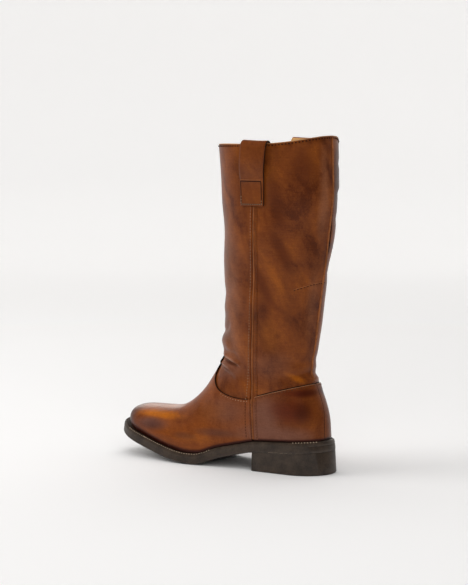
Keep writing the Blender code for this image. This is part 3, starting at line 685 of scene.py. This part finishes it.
def thread(name, path, look, stitch):
    """Separate stitches of (pitch, length, thickness) along path, rows of (point, normal)."""
    pitch, length, thick = stitch
    points = np.array([row[0] for row in path])
    normals = np.array([row[1] for row in path])
    travelled = np.concatenate([[0], np.cumsum(np.linalg.norm(np.diff(points, axis=0), axis=1))])
    bm = bmesh.new()
    for place in np.arange(pitch / 2, travelled[-1], pitch):
        middle = np.array([np.interp(place, travelled, column) for column in points.T])
        ahead = np.array([np.interp(place + STITCH_AIM, travelled, column) for column in points.T])
        behind = np.array([np.interp(place - STITCH_AIM, travelled, column) for column in points.T])
        normal = np.array([np.interp(place, travelled, column) for column in normals.T])
        made = bmesh.ops.create_uvsphere(bm, u_segments=6, v_segments=4, radius=0.5)["verts"]
        turn = Vector(ahead - behind).to_track_quat("Z", "Y").to_matrix()
        raised = Vector(middle + normal * STITCH_LIFT)
        for vert in made:
            x, y, z = vert.co
            vert.co = (turn @ Vector((x * thick, y * thick, z * length)) + raised) * MM
    return new_object(name, bm, look)


def keep(obj, slot, *nodes):
    """Fixes a made piece to the boot's one body, in the place of the named solids."""
    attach(obj, "root")
    if nodes:
        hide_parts(*nodes)
    return obj


LOOP_FOOT, UNDER_LOOP = 295.5, 0.4  # z of the loops' lower end; how far under it the seam starts
SEAM_END, SEAM_ROWS = 36, 130
SEAM_LINES = [
    # z, y of the front stitches, of the groove, of the rear stitches
    (34, 50.2, 57.4, 63.6),
    (57, 50.0, 57.7, 63.5),
    (74, 50.2, 57.0, 63.5),
    (90, 51.0, 56.4, 63.5),
    (113, 52.7, 56.8, 63.7),
    (147, 55.2, 58.7, 65.4),
    (192, 59.0, 62.3, 68.1),
    (247, 62.4, 65.2, 70.4),
    (296, 64.4, 67.0, 72.0),
]
FRONT, GROOVE, REAR = 1, 2, 3  # columns of the table
STEP_TOP, STEP = 83, 3  # the seam steps out onto the panels over STEP below this z
FOOT_TOP = 78  # below this z the seam is on the foot
FRONT_LIFT, LAP_LIFT, REAR_LIFT = 0.1, 0.1, 0.5
FOLD_SHIFT, PIPING_SHIFT, LAP_SHIFT = -1.7, 1.8, -1.2  # towards the heel from their line
FURROW_SHAPE = rounded(0.5, 0.1, -0.6)
FOLD_SHAPE = rounded(1.1, 0.9, -0.8)
GROOVE_SHAPE = rounded(0.45, 0.15, -0.8)
BED_SHAPE = rounded(1.0, 0.05, -1.4)
PIPING_SHAPE = rounded(1.0, 1.6, -0.8)
LAP_SHAPE = [(2.6, -0.6), (2.4, 0.3), (1.6, 0.55), (-1.6, 0.45), (-2.4, 0.2), (-2.6, -0.6)]
FRONT_STITCH = (3.3, 1.5, 0.7)  # pitch, length, thickness, as in all stitches below
FOOT_STITCH = (3.3, 1.7, 0.8)
GROOVE_STITCH = (3.3, 1.6, 0.8)
REAR_STITCH = (3.3, 1.7, 0.9)
seam_heights = np.linspace(LOOP_FOOT - UNDER_LOOP, SEAM_END, SEAM_ROWS)


def seam_path(line, shift, side, lift):
    """Down the side along one line of the table, shifted towards the heel."""
    rows = []
    for z in seam_heights:
        y = np.interp(z, [row[0] for row in SEAM_LINES], [row[line] for row in SEAM_LINES]) + shift
        rows.append(on_side(y, z, side, lift + LIFT * np.clip((STEP_TOP - z) / STEP, 0, 1)))
    return rows


for name, side in SIDES:
    front = seam_path(FRONT, 0, side, FRONT_LIFT)
    foot = sum(1 for point, normal in front if point[2] > FOOT_TOP)
    keep(strip("seam_furrow_" + name, front, FURROW_SHAPE, LAP_LEATHER), "leather")
    keep(thread("seam_thread_front_" + name, front[:foot], THREAD, FRONT_STITCH), "leather")
    keep(thread("seam_thread_foot_" + name, front[foot:], DARK_THREAD, FOOT_STITCH), "leather")
    path = seam_path(GROOVE, FOLD_SHIFT, side, 0.0)
    keep(strip("seam_fold_" + name, path, FOLD_SHAPE, TRIM_LEATHER), "leather")
    groove = seam_path(GROOVE, 0, side, 0.0)
    keep(strip("seam_groove_" + name, groove[:foot], GROOVE_SHAPE, DARK_THREAD), "leather")
    keep(strip("seam_bed_" + name, groove[foot:], BED_SHAPE, TRIM_LEATHER), "leather")
    keep(thread("seam_groove_foot_" + name, groove[foot:], BROWN_THREAD, GROOVE_STITCH), "leather")
    path = seam_path(GROOVE, PIPING_SHIFT, side, 0.0)
    keep(strip("seam_piping_" + name, path, PIPING_SHAPE, LIT_RIDGE_LEATHER), "leather", "piping_" + name)
    path = seam_path(REAR, LAP_SHIFT, side, LAP_LIFT)
    keep(strip("seam_lap_" + name, path, LAP_SHAPE, LAP_LEATHER), "leather")
    path = seam_path(REAR, 0, side, REAR_LIFT)
    keep(thread("seam_thread_back_" + name, path, BROWN_THREAD, REAR_STITCH), "leather")

# ---------------------------------------------------------------- back seam
# A ridge up the middle of the back in paler leather that is a painted highlight, with a dark strip of
# painted shadow on its inner side, a stitched arc that crosses it at mid height, and the counter's own
# sunk seam below. All are strips along the leather.
BACK_FOOT, BACK_TOP, BACK_ROWS = 101.5, 370.5, 90
SHADOW_X, SHADOW_LOW, SHADOW_HIGH = -2.4, 215, 345  # x, z, z
ARC = [(30.4, 203.3), (26.2, 205.5), (20.7, 207.6), (14.6, 209.6), (5, 210.6), (-8, 211)]  # x, z
ARC_EDGE_UP = 1.1  # the edge above the arc's stitches
COUNTER_SEAM = [(-2, 97), (-1, 76), (3.9, 55), (4.6, 44), (4.6, 37)]  # x, z
RIDGE_SHAPE = rounded(1.4, 1.3, -0.6)
RIDGE_SHADOW_SHAPE = rounded(0.9, 0.4, -0.6)
ARC_EDGE_SHAPE = rounded(0.5, 0.35, -0.5)
COUNTER_GROOVE_SHAPE = rounded(0.6, 0.15, -0.6)
ARC_STITCH = (3.8, 2.2, 0.9)
back_heights = np.linspace(BACK_FOOT, BACK_TOP, BACK_ROWS)
path = [on_back(0, z) for z in back_heights]
keep(strip("back_ridge", path, RIDGE_SHAPE, LIT_RIDGE_LEATHER), "leather", "back_seam")
# A dark strip of painted shadow beside the ridge, on its inner side.
path = [on_back(SHADOW_X, z) for z in back_heights if SHADOW_LOW < z < SHADOW_HIGH]
keep(strip("back_ridge_shadow", path, RIDGE_SHADOW_SHAPE, EDGE_PAINT_AND_SHADE), "leather")
path = [on_back(x, z) for x, z in curve(ARC, 60)]
keep(thread("back_arc_thread", path, DARK_THREAD, ARC_STITCH), "leather")
path = [(point + (0, 0, ARC_EDGE_UP), normal) for point, normal in path]
keep(strip("back_arc_edge", path, ARC_EDGE_SHAPE, LIT_RIDGE_LEATHER), "leather")
path = [on_back(x, z, LIFT) for x, z in curve(COUNTER_SEAM, 40)]
keep(strip("counter_groove", path, COUNTER_GROOVE_SHAPE, EDGE_PAINT_AND_SHADE), "leather")

# ---------------------------------------------------------------- the panels' edges
# The vamp's top edge is painted dark. The counter's has a dark strip of painted shade above it, and on it
# a pale line: its raw edge, with a painted highlight where it catches the light. Each has a row of stitches
# below. They are strips and stitches on the panels' outside.
ROW_DOWN = 2.0  # from an edge to its stitches
VAMP_EDGE_CLEAR = 1.6  # from the side seam's middle to the painted edge
VAMP_ROW_FROM, VAMP_ROW_CLEAR = 14, 5  # y where the vamp's stitches start; their gap to the side seam
SHADE_UP, SHADE_LIFT, SHADE_END = 0.7, 0.2, 122  # above the edge, out from the skin, y
LIT_EDGE_DOWN, LIT_EDGE_END = 0.2, 123  # below the edge, y
COUNTER_ROW_END = 121  # y
VAMP_EDGE_SHAPE = rounded(0.5, 0.3, -1.3)
SHADE_SHAPE = rounded(0.6, 0.3, -0.6)
LIT_EDGE_SHAPE = rounded(0.35, 0.25, -0.6)
VAMP_STITCH = (3.8, 1.5, 0.7)
COUNTER_STITCH = (3.8, 1.8, 0.9)
for name, side in SIDES:
    top = [(y, z) for y, z in curve(VAMP_TOP[:-1], 80) if y < seam_y(z) - VAMP_EDGE_CLEAR]
    path = [on_side(y, z, side, LIFT) for y, z in top]
    keep(strip("vamp_edge_" + name, path, VAMP_EDGE_SHAPE, EDGE_PAINT_AND_SHADE), "leather")
    row = [(y, z) for y, z in curve(VAMP_TOP, 120) if VAMP_ROW_FROM < y < seam_y(z) - VAMP_ROW_CLEAR]
    path = [on_side(y, z - ROW_DOWN, side, LIFT) for y, z in row]
    keep(thread("vamp_thread_" + name, path, THREAD, VAMP_STITCH), "leather")
    path = [on_side(y, z + SHADE_UP, side, SHADE_LIFT) for y, z in counter_edge if y < SHADE_END]
    keep(strip("counter_shade_" + name, path, SHADE_SHAPE, EDGE_PAINT_AND_SHADE), "leather")
    # the counter's raw edge with a painted highlight
    path = [on_side(y, z - LIT_EDGE_DOWN, side, LIFT) for y, z in counter_edge if y < LIT_EDGE_END]
    keep(strip("counter_edge_" + name, path, LIT_EDGE_SHAPE, PALE_LIT_EDGE), "leather")
    path = [on_side(y, z - ROW_DOWN, side, LIFT) for y, z in counter_edge if y < COUNTER_ROW_END]
    keep(thread("counter_thread_" + name, path, BROWN_THREAD, COUNTER_STITCH), "leather")

# ---------------------------------------------------------------- collar
# The rim's raw edge shows as a pale line, with a row of dark stitches under it. Both follow the
# skin's open edge at the top.
MOUTH_Y = 70  # the middle of the mouth
RAW_IN, RAW_DOWN = 0.9, 0.2  # from the rim's outer edge to the middle of the raw edge
COLLAR_OUT, COLLAR_DOWN = 0.15, 2.2  # from the rim's outer edge to the stitches
RAW_SHAPE = [(-0.5, -1.1), (0.3, -1.1), (0.3, 1.0), (-0.5, 1.0)]
COLLAR_STITCH = (3.8, 2.3, 1.4)
rim = np.append(COLLAR, COLLAR[:1], axis=0)
normals = [SKIN.find_nearest(Vector(point) * MM)[1] for point in rim]
outward = []
for (x, y, z), normal in zip(rim, normals):
    outward.append(np.array(normal if normal.dot(Vector((x, y - MOUTH_Y, 0))) > 0 else -normal))
path = [(point + normal * -RAW_IN + (0, 0, -RAW_DOWN), normal) for point, normal in zip(rim, outward)]
keep(strip("collar_edge", path[:-1], RAW_SHAPE, RAW_EDGE, closed=True), "leather")
path = [(point + normal * COLLAR_OUT + (0, 0, -COLLAR_DOWN), normal) for point, normal in zip(rim, outward)]
keep(thread("collar_thread", path, DARK_THREAD, COLLAR_STITCH), "leather")

# ---------------------------------------------------------------- pull loops
# A leather strap over the collar on each side, lined inside and painted dark at its edges. It is the
# packed loop made smooth, and it is stitched down as a square outside.
SQUARE_FRONT, SQUARE_BACK, SQUARE_FOOT, SQUARE_TOP = 53.0, 80.4, 297.4, 322.6  # y, y, z, z
PER_SIDE = 16  # points on each side of the square
STITCHED = slice(26, 52)  # the points of the square whose stitches show
FOLD_ROWS = PER_SIDE + 1  # the points along its top
FOLD_UP = 1.6  # from the top of the square to the fold
LOOP_FLAT = 0.9  # radians: triangles of the loop that meet flatter are joined
FIRM = 0.75  # how much of their sharpness the strap's edges keep
EDGE_ON = 0.75  # faces that look this much along y are the strap's edges
LINED_WITHIN = 0.0462  # metres from the middle: faces nearer than this are lining
INNER_RISE = 2.0  # how much higher the soft inner loop stands
RISE_FROM, RISE_OVER = 345, 20  # z where that rise starts, and the height over which it grows
SQUARE_SHAPE = [(0.6, -0.3), (0.5, 0.1), (-0.5, 0.1), (-0.6, -0.3)]
LOOP_FOLD_SHAPE = [(0.9, -0.4), (0.5, 0.5), (-0.5, 0.4), (-0.9, -0.4)]
LOOP_STITCH = (3.0, 1.6, 0.8)
for name, side in SIDES:
    node = "pull_loop_" + name
    bm = packed_mesh(node, LOOP_FLAT)
    crease = bm.edges.layers.float.new("crease_edge")
    for edge in bm.edges:
        if edge.calc_face_angle(0) > math.radians(SHARP):
            edge[crease] = FIRM
    loop = applied(subdivide(new_object("strap_" + name, bm, LOOP_LEATHER, LINING, EDGE_PAINT_AND_SHADE)))
    for face in loop.data.polygons:
        if abs(face.normal.y) > EDGE_ON:
            face.material_index = 2
        elif abs(face.center.x) < LINED_WITHIN:
            face.material_index = 1
    if name == "inner":
        for vert in loop.data.vertices:
            vert.co.z += INNER_RISE * MM * min(max(vert.co.z / MM - RISE_FROM, 0) / RISE_OVER, 1)
    keep(loop, "leather", node)
    strap = ray_target(loop)
    corners = [(SQUARE_BACK, SQUARE_TOP), (SQUARE_FRONT, SQUARE_TOP), (SQUARE_FRONT, SQUARE_FOOT)]
    corners += [(SQUARE_BACK, SQUARE_FOOT), (SQUARE_BACK, SQUARE_TOP)]
    path = []
    for (y, z), (next_y, next_z) in zip(corners, corners[1:]):
        for share in np.linspace(0, 1, PER_SIDE, endpoint=False):
            along, up = y + (next_y - y) * share, z + (next_z - z) * share
            start = Vector((SIDE_START * side, along * MM, up * MM))
            point = strap.ray_cast(start, Vector((-side, 0, 0)))[0]
            path.append((np.array(point) / MM, np.array((float(side), 0.0, 0.0))))
    keep(strip("loop_square_" + name, path, SQUARE_SHAPE, EDGE_PAINT_AND_SHADE, closed=True), "leather")
    keep(thread("loop_thread_" + name, path[STITCHED], THREAD, LOOP_STITCH), "leather")
    fold = [(point + (0, 0, FOLD_UP), normal) for point, normal in path[:FOLD_ROWS]]
    keep(strip("loop_fold_" + name, fold, LOOP_FOLD_SHAPE, LIT_RIDGE_LEATHER), "leather")

# ---------------------------------------------------------------- sole
# Dark rubber outsole, heel block and welt, glued tight: each is the imported solid with its glued faces
# moved together; the insole inside keeps the imported solid. A pale line where the heel joins is a painted
# highlight.
HEEL_BREAST = 58.0  # y
GLUED = 0.3  # the gap that closes
UNDER = 0.15  # a corner with another this much above it belongs to a glued underside
HEEL_OUT = 0.5  # how far the heel's top comes out
HEEL_MIDDLE = Vector((1, 85, 0))
HEEL_LINE_FROM, HEEL_LINE_TO = 74, 116  # y of the pale line of painted highlight, on the outer side
HEEL_LINE_SHAPE = [(0.35, -0.3), (0.3, 0.12), (-0.3, 0.12), (-0.35, -0.3)]
WELT_LEVEL = 0.9  # faces of the welt that look up this much are its top
SOLE_SHARP = 30  # degrees: the sole's edges that turn more stay sharp


def looks_up(vert):
    """Over 0 where the faces round a corner look up on the whole."""
    return sum(face.normal.z * face.calc_area() for face in vert.link_faces)


for node, look, slot, behind in (
    # the last value is the y behind which the underside is glued
    ("outsole", RUBBER, "sole_rubber", HEEL_BREAST),
    ("heel", RUBBER, "sole_rubber", math.inf),
    ("midsole", WELT_RUBBER, "welt", -math.inf),
):
    bm = packed_mesh(node)
    joint = {}
    for vert in bm.verts:
        above = [edge.other_vert(vert) for edge in vert.link_edges]
        above = [other for other in above if other.co.z - vert.co.z > UNDER * MM]
        if looks_up(vert) < 0 and above and vert.co.y > behind * MM:
            joint[vert] = min((other.co - vert.co for other in above), key=lambda way: way.to_2d().length)
    for vert, way in joint.items():
        vert.co += Vector((way.x, way.y, -GLUED * MM))
    if node == "heel":
        top = [vert for vert in bm.verts if looks_up(vert) > 0]
        for vert, out in [(vert, vert.normal.to_2d().normalized().to_3d()) for vert in top]:
            vert.co += out * HEEL_OUT * MM
    if node == "outsole":
        ring = [vert.co / MM for vert in joint]
    piece = new_object(node + "_rubber", bm, look, SHADED_WELT_TOP)
    if node == "midsole":
        # The welt's top faces are darker: painted shade under the leather that overhangs them.
        for face in piece.data.polygons:
            face.material_index = int(face.normal.z > WELT_LEVEL)
        WELT = ray_target(piece)
    piece.data.set_sharp_from_angle(angle=math.radians(SOLE_SHARP))
    keep(piece, slot, node)
# A pale strip along the heel's joint: painted highlight.
path = []
for point in sorted(ring, key=lambda p: -math.atan2(p.x - HEEL_MIDDLE.x, p.y - HEEL_MIDDLE.y)):
    if point.x > 0 and HEEL_LINE_FROM < point.y < HEEL_LINE_TO:
        out = (point - HEEL_MIDDLE).to_2d().normalized().to_3d()
        path.append((np.array(point), np.array(out)))
keep(strip("heel_line", path, HEEL_LINE_SHAPE, JOINT_HIGHLIGHT), "sole_rubber")
NODES["insole"].data.materials.clear()
NODES["insole"].data.materials.append(LINING)

# ---------------------------------------------------------------- welt
# A dark strip of painted shadow where the leather meets the welt, and pale stitches round the forefoot and
# behind the heel. The strip follows the skin's lower edge, and the stitches lie on the welt's sloping edge.
WELT_SHADOW_OUT = 2.9  # from the skin's lower edge to the strip of painted shadow
WELT_SHADOW_SHAPE = [(1.7, -0.25), (1.0, 1.4), (-0.6, 2.6), (-1.7, -0.25)]
STITCH_BACK = 4.0  # y where the forefoot's stitches end
HEEL_STITCH_X, HEEL_STITCH_FROM, HEEL_STITCH_TO = 5, 106, 128  # x, y, y of the heel's stitches
WELT_NEAR, WELT_FAR, WELT_STEP = 4.0, 9.0, 0.2  # out from the skin, where its sloping edge is looked for
OVER_WELT = 9  # height that the looking starts from
SLOPE_LOW, SLOPE_HIGH = 0.5, 0.9  # how much the sloping edge looks up
WELT_STITCH_OUT, WELT_STITCH_DOWN = 0.5, 0.34  # the stitches' place on it
WELT_STITCH = (3.3, 1.5, 0.9)
turn = np.roll(FOOTLINE, -1, axis=0) - np.roll(FOOTLINE, 1, axis=0)
area = np.sum(FOOTLINE[:, 0] * np.roll(FOOTLINE[:, 1], -1) - FOOTLINE[:, 1] * np.roll(FOOTLINE[:, 0], -1))
away = np.stack([turn[:, 1], -turn[:, 0]], axis=1) * np.sign(area)
away /= np.linalg.norm(away, axis=1, keepdims=True)
away = np.append(away, np.zeros((len(away), 1)), axis=1)
path = [(point + out * WELT_SHADOW_OUT, np.array([0, 0, 1.0])) for point, out in zip(FOOTLINE, away)]
keep(strip("welt_shadow_strip", path, WELT_SHADOW_SHAPE, WELT_SHADOW, closed=True), "leather")


def on_welt(rows):
    """Points on the sloping edge of the welt outside the given rows of the footline."""
    path = []
    for i in rows:
        for out in np.arange(WELT_NEAR, WELT_FAR, WELT_STEP):
            start = Vector(FOOTLINE[i] + away[i] * out + (0, 0, OVER_WELT)) * MM
            point, normal = WELT.ray_cast(start, Vector((0, 0, -1)))[:2]
            if point is not None and SLOPE_LOW < normal.z < SLOPE_HIGH:
                seat = np.array(point) / MM + away[i] * WELT_STITCH_OUT - (0, 0, WELT_STITCH_DOWN)
                path.append((seat, np.array(normal)))
                break
    return path


toe = np.argmin(FOOTLINE[:, 1])
order = np.roll(np.arange(len(FOOTLINE)), len(FOOTLINE) // 2 - toe)
path = on_welt(i for i in order if FOOTLINE[i][1] < STITCH_BACK)
keep(thread("welt_thread", path, WELT_THREAD, WELT_STITCH), "welt")
rear = [i for i, (x, y, z) in enumerate(FOOTLINE) if HEEL_STITCH_FROM < y < HEEL_STITCH_TO]
path = on_welt(i for i in rear if FOOTLINE[i][0] > HEEL_STITCH_X)
keep(thread("heel_thread", path, WELT_THREAD, WELT_STITCH), "welt")
bpy.data.objects.remove(skin)

# ---------------------------------------------------------------- studio
# A pale floor that sweeps up into a backdrop, bright by itself as an evenly lit studio is, a dim room
# behind the camera, and large soft boxes in front of the toe and overhead. Places and sizes of the
# floor and the lamps are in metres.
SWEEP = [(3.0, 0.0), (3.4, 0.06), (3.8, 0.25), (4.1, 0.6), (4.25, 1.2), (4.25, 3.0)]  # out, up
ROUND = 96  # corners of the floor
AWAY = math.radians(215)  # the side that the backdrop closes
FACING = 0.3  # how much a part of the rim must face that way to be swept up
PAPER, PAPER_PALER = (0.88, 0.87, 0.86), (0.89, 0.88, 0.87)
GLOWING = 0.475  # how brightly the backdrop shines
ROOM = (0.1, 0.1, 0.102)
LENS, CAMERA_PLACE, CAMERA_AIM = 107.57, (1.6218, 1.1452, 0.3677), (0.028, 0.0292, 0.1975)
bm = bmesh.new()
bmesh.ops.create_circle(bm, segments=ROUND, radius=SWEEP[0][0], cap_ends=True)
rim = [edge for edge in bm.edges if edge.is_boundary]
for further, higher in SWEEP[1:]:
    behind = []
    for edge in rim:
        middle = (edge.verts[0].co + edge.verts[1].co) / 2
        if math.cos(math.atan2(middle.y, middle.x) - AWAY) > FACING:
            behind.append(edge)
    moved = bmesh.ops.extrude_edge_only(bm, edges=behind)["geom"]
    fresh = [item for item in moved if isinstance(item, bmesh.types.BMVert)]
    for vert in fresh:
        flat = Vector((vert.co.x, vert.co.y, 0)).normalized() * further
        vert.co = (flat.x, flat.y, higher)
    rim = [item for item in moved if isinstance(item, bmesh.types.BMEdge) and set(item.verts) <= set(fresh)]
paint, place, shader = start_material("sweep_paint")
far = place.make("ShaderNodeVectorMath", {"operation": "LENGTH"}, {0: place}, output=1)
tint = noise(place, 900, detail=1).ramp(0.2, 0.8).mix(PAPER, PAPER_PALER)
aside = {0: place, 1: (math.cos(AWAY), math.sin(AWAY), 0)}
behind = place.make("ShaderNodeVectorMath", {"operation": "DOT_PRODUCT"}, aside, output=1)
lit = (far.ramp(0.4, 3.6) * behind.ramp(-0.8, 0.8)).mix((0, 0, 0), PAPER)
feed(shader, Base_Color=tint, Roughness=0.9, Specular_IOR_Level=0.1)
feed(shader, Emission_Color=lit, Emission_Strength=GLOWING)
floor = new_object("floor", bm, paint)

world = bpy.data.worlds.new("studio")
bpy.context.scene.world = world
world.use_nodes = True
world.node_tree.nodes["Background"].inputs["Color"].default_value = rgba(ROOM)


def turned_to(obj, aim):
    """Turns a lamp or camera to look at aim."""
    way = Vector(aim) - obj.location
    obj.rotation_euler = way.to_track_quat("-Z", "Y").to_euler()


def softbox(name, place, aim, size, power):
    light = bpy.data.lights.new(name, "AREA")
    light.shape = "RECTANGLE"
    light.size, light.size_y = size
    light.energy = power
    obj = bpy.data.objects.new(name, light)
    obj.location = place
    turned_to(obj, aim)
    bpy.context.scene.collection.objects.link(obj)
    return obj


softbox("key", (1.2, -1.7, 1.5), (0, 0, 0.2), (1.6, 1.6), 26).visible_glossy = False
softbox("overhead", (-0.3, -0.2, 2.2), (0, 0, 0), (2.6, 2.6), 37).visible_glossy = False
softbox("fill", (1.8, 1.5, 1.3), (0, 0, 0.2), (1.8, 1.8), 24).visible_glossy = False
# A low warm lamp that only shines back from the leather on top of the toes.
sheen = softbox("sheen", (-2.3, -1.5, 0.9), (0, 0, 0.1), (2.0, 0.5), 13)
sheen.visible_diffuse = sheen.visible_camera = False
sheen.data.color = (1.0, 0.9, 0.8)

camera = bpy.data.objects.new("camera", bpy.data.cameras.new("camera"))
camera.data.lens = LENS
camera.data.clip_end = 50
camera.location = CAMERA_PLACE
turned_to(camera, CAMERA_AIM)
bpy.context.scene.collection.objects.link(camera)
bpy.context.scene.camera = camera
bpy.context.scene.view_settings.view_transform = "Standard"
